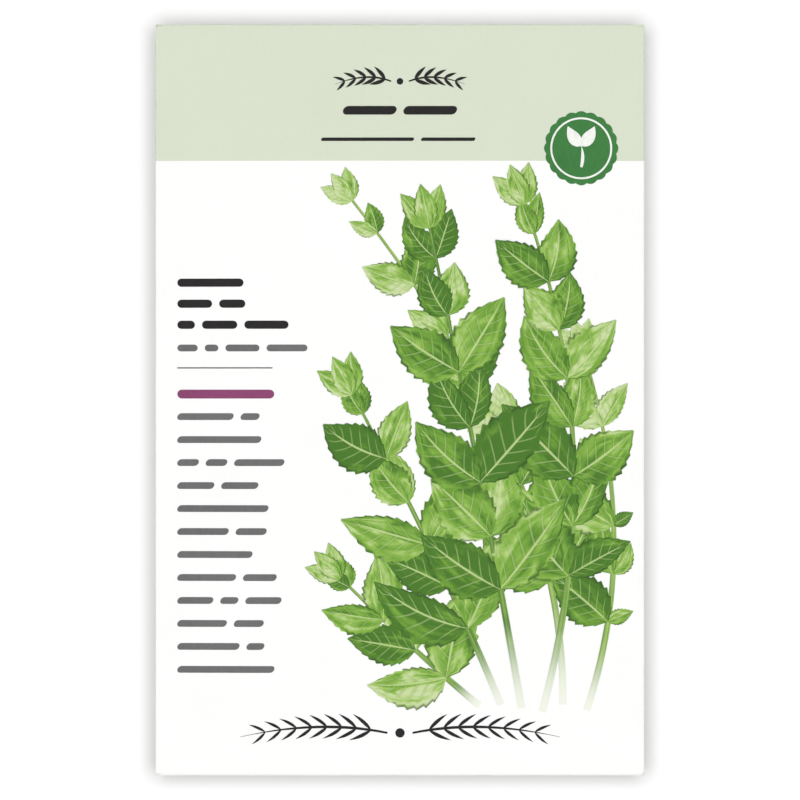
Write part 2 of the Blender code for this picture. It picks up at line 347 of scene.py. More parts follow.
def folded_sheet(white, tint, inside, cut_edge):
    """The whole sheet, folded, in place of the plain one."""
    columns, rows = blank_columns(), blank_rows()
    across, along = len(columns) - 1, len(rows) - 1
    mesh = bmesh.new()
    bmesh.ops.create_grid(mesh, x_segments=across, y_segments=along, size=0.5)
    corners = []
    for face in mesh.faces:
        centre = face.calc_center_median()
        column = math.floor((centre.x + 0.5) * across)
        row = math.floor((centre.y + 0.5) * along)
        if is_front_span(columns, column) or is_front_span(rows, row):
            face.material_index = int(is_tinted(*columns[column : column + 2], *rows[row : row + 2]))
        else:
            corners.append(face)
    bmesh.ops.delete(mesh, geom=corners, context="FACES")
    for vertex in mesh.verts:
        column = columns[round((vertex.co.x + 0.5) * across)]
        row = rows[round((vertex.co.y + 0.5) * along)]
        vertex.co = folded(column, row)
    finishes = (white, tint, inside, inside, cut_edge, cut_edge)
    sheet = add_piece("folded_sheet", mesh, finishes)
    thickness = sheet.modifiers.new("thickness", "SOLIDIFY")
    thickness.thickness = PAPER
    thickness.offset = 0.0
    thickness.use_even_offset = True
    thickness.material_offset = finishes.index(inside)
    thickness.material_offset_rim = finishes.index(cut_edge)
    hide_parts("paper_packet")


# Print: closed films of ink that follow the paper


def on_front(x, y, height):
    """A point over the front panel's surface."""
    return Vector((x, y, front_height(x, y) + PAPER / 2 + height))


def on_back(x, y, height):
    """A point over the back panel's surface, which faces down, with x as the back is read."""
    return Vector((-x, y, back_height(x, y) - PAPER / 2 - height))


def new_mesh(names=FILM_VALUES):
    """A bmesh whose points know a value under each name: those of a film, unless others are given."""
    mesh = bmesh.new()
    for name in names:
        mesh.verts.layers.float.new(name)
    return mesh


def add_points(mesh, points, values):
    """Adds points to a bmesh, with what each of them knows."""
    layers = mesh.verts.layers.float.values()
    made = [mesh.verts.new(point) for point in points]
    for vertex, known in zip(made, values):
        for layer, value in zip(layers, known):
            vertex[layer] = value
    return made


def close_film(mesh, faces, places, values, finish):
    """Adds a closed film: its faces on the paper's side and on top, and a wall round every open edge."""
    under, over = (add_points(mesh, side, values) for side in places)
    edges = {edge for face in faces for edge in zip(face, face[1:] + face[:1])}
    walls = [(a, b) for a, b in edges if (b, a) not in edges]
    made = [mesh.faces.new([over[i] for i in face]) for face in faces]
    made += [mesh.faces.new([under[i] for i in reversed(face)]) for face in faces]
    made += [mesh.faces.new((under[a], under[b], over[b], over[a])) for a, b in sorted(walls)]
    for face in made:
        face.material_index = finish


def shares_along(rows):
    """How far along a film each of its rows lies, from 0 to 1, measured down its middle."""
    middles = [Vector(row[len(row) // 2]) for row in rows]
    reached = [0.0]
    for here, ahead in zip(middles, middles[1:]):
        reached.append(reached[-1] + (ahead - here).length)
    return [distance / reached[-1] for distance in reached]


def lay_film(mesh, rows, place, layer=0, finish=0, tone=0.5, ring=False):
    """Adds one film of ink. Its rows are lists of (x, y), and a ring's rows run all the way round.

    layer counts the coats below it, and finish is its ink's place among the piece's materials.
    """
    width = len(rows[0])
    values = []
    for along in shares_along(rows):
        values += [(along, 2 * j / (width - 1) - 1, tone) for j in range(width)]
    faces = []
    for i in range(len(rows) - 1):
        for j in range(width if ring else width - 1):
            right, left = i * width + j, i * width + (j + 1) % width
            faces.append((right, right + width, left + width, left))
    height = INK_HEIGHT + layer * PAINT_STEP
    places = [[place(x, y, z) for row in rows for x, y in row] for z in (-INK_SINK, height)]
    close_film(mesh, faces, places, values, finish)


def print_piece(name, mesh, finishes):
    """Makes a mesh of films a piece of the packet."""
    bmesh.ops.recalc_face_normals(mesh, faces=mesh.faces)
    made = add_piece(name, mesh, finishes)


def ribbon(path, half_widths, columns=3):
    """Rows of (x, y) across a path, from its right edge to its left."""
    rows = []
    for i, (here, half) in enumerate(zip(path, half_widths)):
        before, after = path[max(0, i - 1)], path[min(len(path) - 1, i + 1)]
        way = Vector(after) - Vector(before)
        left = Vector((-way.y, way.x)).normalized()
        edge = [mix(-half, half, j / (columns - 1)) for j in range(columns)]
        rows.append([(here[0] + left.x * t, here[1] + left.y * t) for t in edge])
    return rows


def bar(left, right, y, height, slant=0.0):
    """A bar with round ends that stands for one printed word."""
    radius = height / 2
    start = [(left + radius * (1 - math.cos(a)), radius * math.sin(a)) for a in ROUND_END]
    end = [(right - radius * (1 - math.cos(a)), radius * math.sin(a)) for a in reversed(ROUND_END)]
    middle = [(x, radius) for x in spaced(start[-1][0], end[0][0], INK_FACET)[1:-1]]
    return [
        [(x + slant * t * half, y + t * half) for t in (-1, 0, 1)] for x, half in start + middle + end
    ]


def dot(centre, radius):
    """A round dot."""
    x, y = centre
    turn = ROUND_END + [math.pi - a for a in reversed(ROUND_END[:-1])]
    return [
        [(x - radius * math.cos(a), y + t * radius * math.sin(a)) for t in (-1, 0, 1)] for a in turn
    ]


def ring_rows(centre, inner, outer, scallops=0, depth=0.0):
    """Rings from an inner to an outer radius, with the outer edge scalloped."""
    points = max(RING_POINTS, scallops * SCALLOP_POINTS)
    rows = []
    for share in RING_SHARES:
        row = []
        for i in range(points):
            angle = math.tau * i / points
            wave = 1 + depth * share * abs(math.cos(scallops * angle / 2))
            radius = mix(inner, outer, share) * wave
            row.append((centre[0] + radius * math.cos(angle), centre[1] + radius * math.sin(angle)))
        rows.append(row)
    return rows


TOOTH_POINT = 0.8  # where a tooth's point lies, from its foot to the next tooth's
TOOTH_REACH = 1.13  # how much further out it lies than a smooth edge
LEAF_FORM = (0.78, 0.9)  # powers: the lower, the nearer to its foot a leaf is broadest, and the fuller
LEAF_ENDS = 0.02  # half a leaf's width at its foot and tip, as a share of its greatest width
PLAIN_LEAF_STEPS = 10


@dataclass
class Leaf:
    """One printed leaf: where it starts, the way it points in radians, its size, and how it is drawn."""

    root: tuple
    heading: float
    length: float
    width: float
    bend: float = 0.0
    teeth: int = 0
    turned: float = 1.0  # the far half's width as a share of the near half's
    tone: float = 0.5

    def rows(self, columns=7):
        """Rows of (x, y) from the stalk to the tip, with a row at each tooth's foot and point."""
        if self.teeth:
            feet_and_points = [k + part for k in range(self.teeth) for part in (0.0, TOOTH_POINT)]
            shares = [place / self.teeth for place in feet_and_points] + [1.0]
        else:
            shares = [k / PLAIN_LEAF_STEPS for k in range(PLAIN_LEAF_STEPS + 1)]
        to_broadest, fullness = LEAF_FORM
        rows = []
        for share in shares:
            heading = self.heading + self.bend * share
            chord = self.heading + self.bend * share / 2
            x = self.root[0] + self.length * share * math.cos(chord)
            y = self.root[1] + self.length * share * math.sin(chord)
            half = LEAF_ENDS * self.width
            if 0 < share < 1:
                half = max(half, self.width / 2 * math.sin(math.pi * share**to_broadest) ** fullness)
            edge = [half * mix(-1, 1, j / (columns - 1)) for j in range(columns)]
            if self.teeth and share * self.teeth % 1 > TOOTH_POINT / 2:
                edge[0] *= TOOTH_REACH
                edge[-1] *= TOOTH_REACH
            edge = [t * self.turned if t < 0 else t for t in edge]
            rows.append([(x - math.sin(heading) * t, y + math.cos(heading) * t) for t in edge])
        return rows


STROKE_STEPS = 14
STROKE_TIP = 0.12  # how wide a stroke's end is, as a share of its greatest width


def swash(mesh, place, points, half_width, layer=0, finish=0):
    """A stroke along a bent line that is widest a third of the way and comes to a point at its end."""
    shares = [i / STROKE_STEPS for i in range(STROKE_STEPS + 1)]
    path = [curve_point(*points, share) for share in shares]
    swell = [math.sin(math.pi * mix(0.25, 1.0, share)) for share in shares]
    widths = [half_width * max(STROKE_TIP, value) for value in swell]
    lay_film(mesh, ribbon(path, widths), place, layer, finish)


def curve_point(start, middle, end, share):
    """(x, y) on a bent line that starts towards middle and ends coming from it."""
    first = [mix(a, b, share) for a, b in zip(start, middle)]
    second = [mix(b, c, share) for b, c in zip(middle, end)]
    return tuple(mix(a, b, share) for a, b in zip(first, second))


def curve_heading(start, middle, end, share):
    """The way that the bent line points there, in radians."""
    ahead = [mix(b - a, c - b, share) for a, b, c in zip(start, middle, end)]
    return math.atan2(ahead[1], ahead[0])


# A divider's twigs, in lengths of their leaves
BEAD_RADIUS = 0.17
BEAD_GAP = 0.45
TWIG_RISE = 0.5
TWIG_DROP = 0.15
TWIG_HALF_WIDTH = 0.05


def leafy_divider(mesh, y, half_length, leaf_length, pairs, slimness):
    """An ornament across the front: two mirrored leafy twigs with a bead between them."""
    for way in (-1, 1):
        twig = (
            (way * leaf_length * BEAD_GAP, y),
            (way * half_length / 2, y + leaf_length * TWIG_RISE),
            (way * half_length, y - leaf_length * TWIG_DROP),
        )
        swash(mesh, on_front, twig, leaf_length * TWIG_HALF_WIDTH)
        for pair in range(pairs):
            share = mix(0.12, 0.84, pair / (pairs - 1))
            root = curve_point(*twig, share)
            size = leaf_length * mix(0.9, 0.6, share)
            for layer, side in ((1, -1), (2, 1)):
                heading = curve_heading(*twig, share) + side * 0.75
                leaf = Leaf(root, heading, size, size * slimness, bend=-side * 0.35)
                lay_film(mesh, leaf.rows(columns=3), on_front, layer)
    lay_film(mesh, dot((0.0, y), leaf_length * BEAD_RADIUS), on_front)


def word_line(mesh, place, left, width, y, height, words, finish=0, slant=0.0):
    """A line of bars that stands for a line of words, whose lengths are given beside each other."""
    room = width - WORD_GAP * (len(words) - 1)
    at = left
    for word in words:
        length = room * word / sum(words)
        lay_film(mesh, bar(at, at + length, y, height, slant), place, finish=finish)
        at += length + WORD_GAP


def thin_rule(mesh, place, left, length, y, finish=0):
    """A thin level line."""
    path = [(x, y) for x in spaced(left, left + length, INK_FACET)]
    lay_film(mesh, ribbon(path, [RULE_WIDTH / 2] * len(path)), place, finish=finish)


def header_print(black):
    """The header's ornament and the two lines under it."""
    mesh = new_mesh()
    leafy_divider(mesh, TITLE_Y, *TITLE_ORNAMENT, pairs=5, slimness=0.23)
    word_line(mesh, on_front, *SUBTITLE, slant=LEAN)
    word_line(mesh, on_front, *BYLINE, slant=LEAN)
    print_piece("header_print", mesh, (black,))


def side_notes(black, grey, plum):
    """The column of notes down the front's left side."""
    mesh = new_mesh()
    for number, (width, words) in enumerate(HEADING_LINES):
        y = HEADING_Y - HEADING_PITCH * number
        word_line(mesh, on_front, NOTES_LEFT, width * MM, y, BOLD_BAR, words)
    word_line(mesh, on_front, *SEASON, finish=1)
    thin_rule(mesh, on_front, *NOTES_RULE, finish=1)
    word_line(mesh, on_front, *ACCENT, finish=2)
    for number, (width, words) in enumerate(BODY_LINES):
        y = BODY_Y - BODY_PITCH * number
        word_line(mesh, on_front, NOTES_LEFT, width * MM, y, BODY_BAR, words, finish=1, slant=LEAN)
    print_piece("side_notes", mesh, (black, grey, plum))


SPROUT_BEND = 0.5
PINHOLE = 0.004 * MM  # a disc is a ring round a hole too small to see
SEAL_SCALLOPS = 20
SCALLOP_DEPTH = 0.05
THIN_RING = (0.78, 0.83)  # shares of the seal's radius
SEAL_STEM = ((0.0, -3.2), (0.5, -1.2), (0.0, 0.4))  # millimetres from the seal's middle


def sprout(mesh, place, stem, half_width, size, plump, spread, finish):
    """A bent stem with two leaves at its top."""
    swash(mesh, place, stem, half_width, layer=1, finish=finish)
    for layer, side in ((2, -1), (3, 1)):
        heading = math.pi / 2 - side * spread
        leaf = Leaf(stem[-1], heading, size, size * plump, bend=side * SPROUT_BEND)
        lay_film(mesh, leaf.rows(columns=5), place, layer, finish)


def round_seal(green, pale):
    """A round seal with a scalloped edge, a thin ring and a sprout."""
    mesh = new_mesh()
    disc_radius = SEAL_RADIUS * (1 - SCALLOP_DEPTH)
    disc = ring_rows(SEAL_CENTRE, PINHOLE, disc_radius, SEAL_SCALLOPS, SCALLOP_DEPTH)
    lay_film(mesh, disc, on_front, ring=True)
    thin_ring = ring_rows(SEAL_CENTRE, *(SEAL_RADIUS * share for share in THIN_RING))
    lay_film(mesh, thin_ring, on_front, layer=1, finish=1, ring=True)
    stem = [(SEAL_CENTRE[0] + x * MM, SEAL_CENTRE[1] + y * MM) for x, y in SEAL_STEM]
    sprout(mesh, on_front, stem, 0.28 * MM, size=4.0 * MM, plump=0.525, spread=0.85, finish=1)
    print_piece("round_seal", mesh, (green, pale))


def footer_print(black):
    """The ornament at the foot of the front."""
    mesh = new_mesh()
    leafy_divider(mesh, FOOTER_Y, *FOOTER_ORNAMENT, pairs=8, slimness=0.15)
    print_piece("footer_print", mesh, (black,))


@dataclass
class Sprig:
    """One printed sprig: its bent stem's three points and its longest leaf, both in millimetres."""

    foot: tuple
    middle: tuple
    tip: tuple
    pairs: int
    leaf: float
    tone: float
    leaves: list = field(default_factory=list)

    def stem_points(self):
        """The bent stem's three points in metres."""
        return [(x * MM, y * MM) for x, y in (self.foot, self.middle, self.tip)]

    def stem(self, share):
        """A point on the stem, from its foot at share 0 to its tip at share 1."""
        return curve_point(*self.stem_points(), share)


SPRIGS = (
    Sprig((27.5, -51.4), (28, -12), (-8, 33.6), 8, 14, 0.62),
    Sprig((31.5, -52.4), (41, -24), (31, 8), 6, 14, 0.6),
    Sprig((13.4, -51.6), (3, -43), (-10, -30), 4, 15, 0.5),
    Sprig((17, -51.4), (7, -27), (-8, 1), 6, 17, 0.42),
    Sprig((24, -52.6), (36, -8), (21, 33), 8, 17, 0.5),
    Sprig((20.5, -52.0), (14, -14), (5, 29), 7, 18, 0.35),
)
LEAFY_PART = (0.26, 0.94)  # shares of a stem between which its pairs of leaves grow
LEAF_TEETH = 9
BUD_TEETH = 7
SHRINK = 0.94
STEM_STEPS = 28
STEM_HALF_WIDTHS = (0.62 * MM, 0.22 * MM)  # at the foot and at the tip


def fits(leaf):
    """Whether a leaf keeps clear of the notes on one side and of the packet's edge on the other."""
    across = [x for row in leaf.rows() for x, y in row]
    return ART_LEFT < min(across) and max(across) < ART_RIGHT


def add_leaf(sprig, share, heading, length, **looks):
    """Adds a leaf to the sprig, made smaller until it fits in the art's place."""
    plump = looks.pop("plump")
    leaf = Leaf(sprig.stem(share), heading, length, length * plump, **looks)
    while not fits(leaf):
        leaf.length *= SHRINK
        leaf.width *= SHRINK
    sprig.leaves.append(leaf)


def grow_leaves(sprig, draw):
    """Adds the sprig's leaves: pairs that get smaller towards the tip, and a bud of three.

    Every other pair is seen end-on, so it is smaller and closer to the stem.
    """
    points = sprig.stem_points()
    for pair in range(sprig.pairs):
        reached = pair / (sprig.pairs - 1)
        share = mix(*LEAFY_PART, reached)
        end_on = pair % 2 == 1
        length = sprig.leaf * MM * mix(1.0, 0.5, reached**1.8) * (0.78 if end_on else 1.0)
        spread = mix(1.15, 0.65, share) * (0.6 if end_on else 1.0)
        heading = curve_heading(*points, share)
        for side in (-1, 1):
            add_leaf(
                sprig,
                share,
                heading + side * (spread + draw.uniform(-0.15, 0.15)),
                length * draw.uniform(0.88, 1.08),
                plump=draw.uniform(0.54, 0.66),
                bend=-side * draw.uniform(-0.2, 0.6),
                teeth=LEAF_TEETH,
                turned=draw.choice((1.0, 0.9, 0.6)),
                tone=sprig.tone + draw.uniform(-0.4, 0.4),
            )
    bud = {"plump": 0.5, "teeth": BUD_TEETH, "tone": sprig.tone + 0.25}
    for spread in (0.5, -0.45, 0.0):
        add_leaf(sprig, 1.0, curve_heading(*points, 1.0) + spread, sprig.leaf * MM * 0.42, **bud)


def spots(rows):
    """Circles that cover a film, as (middle, radius)."""
    found = []
    for row in rows[::2]:
        low, high = Vector(row[0]), Vector(row[-1])
        found.append(((low + high) / 2, (high - low).length / 2))
    return found


def touch(some, others):
    """Whether any of some circles reaches into any of the others."""
    return any((a - b).length < r + s for a, r in some for b, s in others)


def stem_rows(sprig):
    """The stem's ribbon, which gets thinner towards the tip."""
    shares = [i / STEM_STEPS for i in range(STEM_STEPS + 1)]
    path = [sprig.stem(share) for share in shares]
    return ribbon(path, [mix(*STEM_HALF_WIDTHS, share) for share in shares])


def herb_sprigs(leaf_paint, stem_paint):
    """The sprays of leaves on the front, painted one over another."""
    draw = random.Random(RANDOM_SEED + 2)
    painted = []
    for number, sprig in enumerate(SPRIGS, 1):
        grow_leaves(sprig, draw)
        mesh = new_mesh()
        coats = [(stem_rows(sprig), 1, sprig.tone)]
        coats += [(leaf.rows(), 0, leaf.tone) for leaf in sprig.leaves]
        for rows, finish, tone in coats:
            here = spots(rows)
            layer = 1 + max((below for below, there in painted if touch(here, there)), default=-1)
            painted.append((layer, here))
            lay_film(mesh, rows, on_front, layer, finish, tone)
        print_piece(f"herb_sprig_{number}", mesh, (leaf_paint, stem_paint))


STAGES = 5  # how many stages of a plant the back shows, from the seed on
SOWN_RADIUS = 0.7 * MM
GROWTH = 2.2 * MM  # how much higher each stage is than the one before


def note_block(mesh, draw, top, count):
    """Lines of nine words each on the back, nearly as wide as the column."""
    for number in range(count):
        words = [draw.uniform(2, 8) for _ in range(9)]
        width = BACK_WIDTH * draw.uniform(0.86, 1.0)
        y = top - NOTE_PITCH * number
        word_line(mesh, on_back, BACK_LEFT, width, y, NOTE_BAR, words, finish=1)


def back_print(black, grey, green):
    """The back: a short heading, notes, and a row of sprouts that shows how the plant comes up."""
    draw = random.Random(RANDOM_SEED + 3)
    mesh = new_mesh()
    word_line(mesh, on_back, *BACK_HEADING)
    note_block(mesh, draw, UPPER_NOTES_Y, 7)
    thin_rule(mesh, on_back, BACK_LEFT, BACK_WIDTH, SOIL_Y)
    for stage in range(STAGES):
        x = BACK_LEFT + SOWN_INDENT + SOWN_PITCH * stage
        lay_film(mesh, dot((x, SOWN_Y), SOWN_RADIUS), on_back)
        if stage:
            foot = (x, SOWN_Y + 0.6 * MM)
            middle = (x + 0.6 * MM, SOIL_Y - 1.0 * MM)
            stem = (foot, middle, (x, SOIL_Y + GROWTH * stage))
            size = (1.6 + 1.0 * stage) * MM
            sprout(mesh, on_back, stem, 0.25 * MM, size, plump=0.5, spread=0.8, finish=2)
    note_block(mesh, draw, LOWER_NOTES_Y, 6)
    print_piece("back_print", mesh, (black, grey, green))


# The seeds

SEED_SIZE = (3.1 * MM, 1.7 * MM, 1.35 * MM)
SEED_SIDES = 20
SEED_BANDS = 9
SEED_RIBS = 5
RIB_HEIGHT = 0.10
SEED_TAPER = 0.25
SEED_BEND = 0.12
HEAP_LAYERS = (120, 110)  # how many seeds lie below, and how many on them
HEAP_REACH = 0.9  # how far out they lie, as a share of the heap's size


def seed_heap(husk):
    """Loose ribbed seeds in the heap's place, in layers between the back panel and the front."""
    draw = random.Random(RANDOM_SEED + 4)
    low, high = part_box("seeds")
    centre = (low + high) / 2
    reach = (high - low) / 2
    points, ribs, faces = one_seed()
    mesh = new_mesh(("rib",))
    golden_angle = math.pi * (3 - math.sqrt(5))
    for level, count in enumerate(HEAP_LAYERS):
        for index in range(count):
            share = HEAP_REACH * math.sqrt((index + 0.5) / count)
            angle = index * golden_angle + level
            floor = low.z + SEED_SIZE[2] / 2
            roof = mix(high.z - SEED_SIZE[2] / 2, floor, share**2)
            spot = Vector((reach.x * math.cos(angle), reach.y * math.sin(angle), 0.0)) * share
            spot += Vector((centre.x, centre.y, mix(floor, roof, level)))
            turn = Matrix.Rotation(draw.uniform(0.0, math.tau), 3, "Z") * draw.uniform(0.86, 1.1)
            made = add_points(mesh, [spot + turn @ point for point in points], ribs)
            for face in faces:
                mesh.faces.new([made[i] for i in face])
    heap = add_piece("seed_heap", mesh, (husk,))
    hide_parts("seeds")


def one_seed():
    """Points, rib values and faces of one seed: an egg that bends a little and has ribs along it."""
    egg = bmesh.new()
    bmesh.ops.create_uvsphere(egg, u_segments=SEED_SIDES, v_segments=SEED_BANDS, radius=0.5)
    points, ribs = [], []
    for vertex in egg.verts:
        width, height, length = vertex.co
        rib = abs(math.cos(SEED_RIBS * math.atan2(height, width) / 2)) ** 4
        swell = (1 + RIB_HEIGHT * rib) * (1 - SEED_TAPER * length)
        side = width * swell + SEED_BEND * (1 - 4 * length**2)
        points.append(Vector((length, side, height * swell)) * Vector(SEED_SIZE))
        ribs.append((rib,))
    # Sorted, because the sphere lists its faces in another order each time
    faces = sorted([vertex.index for vertex in face.verts] for face in egg.faces)
    egg.free()
    return points, ribs, faces


# Shaders


def feed(tree, inputs, values):
    """Gives each named input a value, or links it to another node's socket."""
    for name, value in values.items():
        if isinstance(value, bpy.types.NodeSocket):
            tree.links.new(value, inputs[name])
        else:
            inputs[name].default_value = value


def add_node(tree, kind, values=None, **settings):
    """A shader node with its settings, its inputs fed."""
    made = tree.nodes.new(kind)
    for name, value in settings.items():
        setattr(made, name, value)
    feed(tree, made.inputs, values or {})
    return made


def maths(tree, operation, *values):
    """The result of one sum on values and sockets."""
    return add_node(tree, "ShaderNodeMath", dict(enumerate(values)), operation=operation).outputs[0]


def times(tree, first, second):
    """The product of two values or sockets."""
    return maths(tree, "MULTIPLY", first, second)


def own_place(tree):
    """Where each point lies on the packet, in metres."""
    return tree.nodes.new("ShaderNodeTexCoord").outputs["Object"]


def own_value(tree, name):
    """What each point of a mesh knows under this name."""
    return add_node(tree, "ShaderNodeAttribute", attribute_name=name).outputs["Fac"]


def cloudy(tree, place, scale, **more):
    """Noise round 0.5, finer the higher its scale."""
    values = {"Vector": place, "Scale": scale, **more}
    return add_node(tree, "ShaderNodeTexNoise", values).outputs[0]


def between(tree, value, low, high, start=0.0, end=1.0):
    """A smooth step: start where value is low, end where it is high."""
    made = add_node(
        tree,
        "ShaderNodeMapRange",
        {"Value": value, "From Min": low, "From Max": high, "To Min": start, "To Max": end},
        interpolation_type="SMOOTHSTEP",
    )
    return made.outputs["Result"]


def blend_colours(tree, share, first, second):
    """first where share is 0 and second where it is 1."""
    made = add_node(tree, "ShaderNodeMix", {0: share, 6: first, 7: second}, data_type="RGBA")
    return made.outputs[2]


def new_group(name, inputs, outputs):
    """A shader node group with typed sockets. Returns it with what it is given and what it gives."""
    tree = bpy.data.node_groups.new(name, "ShaderNodeTree")
    for socket_name, kind, default in inputs:
        socket = tree.interface.new_socket(name=socket_name, in_out="INPUT", socket_type=kind)
        socket.default_value = default
    for socket_name, kind in outputs:
        tree.interface.new_socket(name=socket_name, in_out="OUTPUT", socket_type=kind)
    return tree, tree.nodes.new("NodeGroupInput").outputs, tree.nodes.new("NodeGroupOutput").inputs


def use_group(tree, group, **values):
    """The outputs of a group that is placed in this tree, its inputs fed."""
    return add_node(tree, "ShaderNodeGroup", values, node_tree=group).outputs


FLOAT = "NodeSocketFloat"
COLOUR = "NodeSocketColor"
WEAR_REACH = 0.45 * MM


def paper_fibre_group():
    """Fine fibres and slow cloudiness of paper stock: a shade round 0.5 and a height."""
    tree, given, result = new_group(
        "paper fibre", [("Fineness", FLOAT, 1.0)], [("Shade", FLOAT), ("Height", FLOAT)]
    )
    place = own_place(tree)
    stretched = add_node(tree, "ShaderNodeMapping", {"Vector": place, "Scale": (1.0, 0.45, 1.0)})
    fineness = times(tree, given["Fineness"], 1900.0)
    fibres = cloudy(tree, stretched.outputs[0], fineness, Detail=3.0, Roughness=0.6)
    clouds = cloudy(tree, place, 90.0)
    shade = maths(tree, "ADD", times(tree, fibres, 0.5), times(tree, clouds, 0.5))
    feed(tree, result, {"Shade": shade, "Height": fibres})
    return tree


def fold_wear_group():
    """Where the sheet is rubbed: a hair along the packet's outline, broken up by noise."""
    tree, given, result = new_group("fold wear", [("Reach", FLOAT, 1.0)], [("Mask", FLOAT)])
    place = own_place(tree)
    at = add_node(tree, "ShaderNodeSeparateXYZ", {0: place}).outputs
    from_side = maths(tree, "SUBTRACT", PACKET_WIDTH / 2, maths(tree, "ABSOLUTE", at["X"]))
    from_end = maths(tree, "SUBTRACT", PACKET_HEIGHT / 2, maths(tree, "ABSOLUTE", at["Y"]))
    nearest = maths(tree, "MINIMUM", from_side, from_end)
    near = between(tree, nearest, times(tree, given["Reach"], WEAR_REACH), 0.0)
    rubbed = between(tree, cloudy(tree, place, 2400.0, Detail=3.0), 0.45, 0.7)
    feed(tree, result, {"Mask": times(tree, near, rubbed)})
    return tree


def brush_wash_group():
    """Watercolour: three strengths of a paint, in strokes along a film and clouds across the page."""
    plain = (1.0, 1.0, 1.0, 1.0)
    inputs = [(name, COLOUR, plain) for name in ("Light", "Middle", "Deep")]
    inputs += [("Along", FLOAT, 0.0), ("Across", FLOAT, 0.0), ("Tone", FLOAT, 0.5)]
    tree, given, result = new_group("brush wash", inputs, [("Colour", COLOUR), ("Strength", FLOAT)])
    stroke = {
        "X": times(tree, given["Across"], 1.9),
        "Y": times(tree, given["Along"], 1.6),
        "Z": times(tree, given["Tone"], 31.0),
    }
    stroke_place = add_node(tree, "ShaderNodeCombineXYZ", stroke).outputs[0]
    strokes = cloudy(tree, stroke_place, 1.6, Detail=3.0, Distortion=0.6)
    clouds = cloudy(tree, own_place(tree), 260.0, Detail=3.0)
    strength = times(tree, strokes, 1.1)
    for value, weight in ((clouds, 0.5), (given["Tone"], 0.75), (given["Across"], 0.07)):
        strength = maths(tree, "ADD", strength, times(tree, value, weight))
    strength = maths(tree, "SUBTRACT", strength, 0.68)
    lighter = between(tree, strength, 0.43, 0.8)
    deeper = between(tree, strength, 0.52, 0.18)
    colour = blend_colours(tree, lighter, given["Middle"], given["Light"])
    colour = blend_colours(tree, deeper, colour, given["Deep"])
    feed(tree, result, {"Colour": colour, "Strength": strength})
    return tree


PAPER_WHITE = 0.755  # albedo of the packet's white
SIDE_VEINS = 7.0
VEIN_SLANT = 1.5


def linear(value):
    """Linear value of an sRGB level from 0 to 255."""
    value /= 255
    return value / 12.92 if value <= 0.04045 else ((value + 0.055) / 1.055) ** 2.4


def on_white(red, green, blue):
    """Albedo of an ink that has this sRGB colour beside the packet's white."""
    return (*(PAPER_WHITE * linear(value) for value in (red, green, blue)), 1.0)


def new_finish(name):
    """A new material with its node tree and the inputs of its Principled shader."""
    made = bpy.data.materials.new(name)
    made.use_nodes = True
    return made, made.node_tree, made.node_tree.nodes["Principled BSDF"].inputs


def add_relief(tree, surface, strength, depth, height):
    """Fine relief on a surface, up to this depth where height is 1."""
    values = {"Strength": strength, "Distance": depth, "Height": height}
    feed(tree, surface, {"Normal": add_node(tree, "ShaderNodeBump", values).outputs[0]})


def shaded(colour, share):
    """A colour made darker, or lighter where share is over 1."""
    return (*(min(1.0, value * share) for value in colour[:3]), 1.0)


def stock(name, fibre, colour, roughness, grain, bump, gloss):
    """A paper finish that follows the fibres. Returns it with its tree, inputs and colour socket."""
    made, tree, surface = new_finish(name)
    fibres = use_group(tree, fibre, Fineness=1.0)
    cloud = between(tree, fibres["Shade"], 0.3, 0.7)
    shade = blend_colours(tree, cloud, shaded(colour, 1 - grain), shaded(colour, 1 + grain))
    rough = between(tree, fibres["Height"], 0.2, 0.8, roughness - 0.06, roughness + 0.06)
    feed(tree, surface, {"Base Color": shade, "Roughness": rough, "Specular IOR Level": gloss})
    add_relief(tree, surface, bump, 0.03 * MM, fibres["Height"])
    return made, tree, surface, shade


def rubbed_stock(name, fibre, wear, colour, worn):
    """Coated paper whose print is rubbed along the folds."""
    made, tree, surface, shade = stock(
        name, fibre, colour, roughness=0.48, grain=0.012, bump=0.25, gloss=0.22
    )
    mask = use_group(tree, wear, Reach=1.0)["Mask"]
    rubbed = blend_colours(tree, times(tree, mask, 0.35), shade, worn)
    feed(tree, surface, {"Base Color": rubbed})
    return made


def ink(name, fibre, colour):
    """Printing ink, which lets the paper's fibres show."""
    return stock(name, fibre, colour, roughness=0.46, grain=0.10, bump=0.2, gloss=0.18)[0]


def paint(name, fibre, wash, light, middle, deep):
    """A watercolour finish on a film. Returns what a caller needs to draw more on it."""
    made, tree, surface, _ = stock(
        name, fibre, middle, roughness=0.52, grain=0.05, bump=0.2, gloss=0.15
    )
    along, across, tone = (own_value(tree, value) for value in FILM_VALUES)
    washed = use_group(
        tree, wash, Light=light, Middle=middle, Deep=deep, Along=along, Across=across, Tone=tone
    )
    return made, tree, surface, along, across, washed


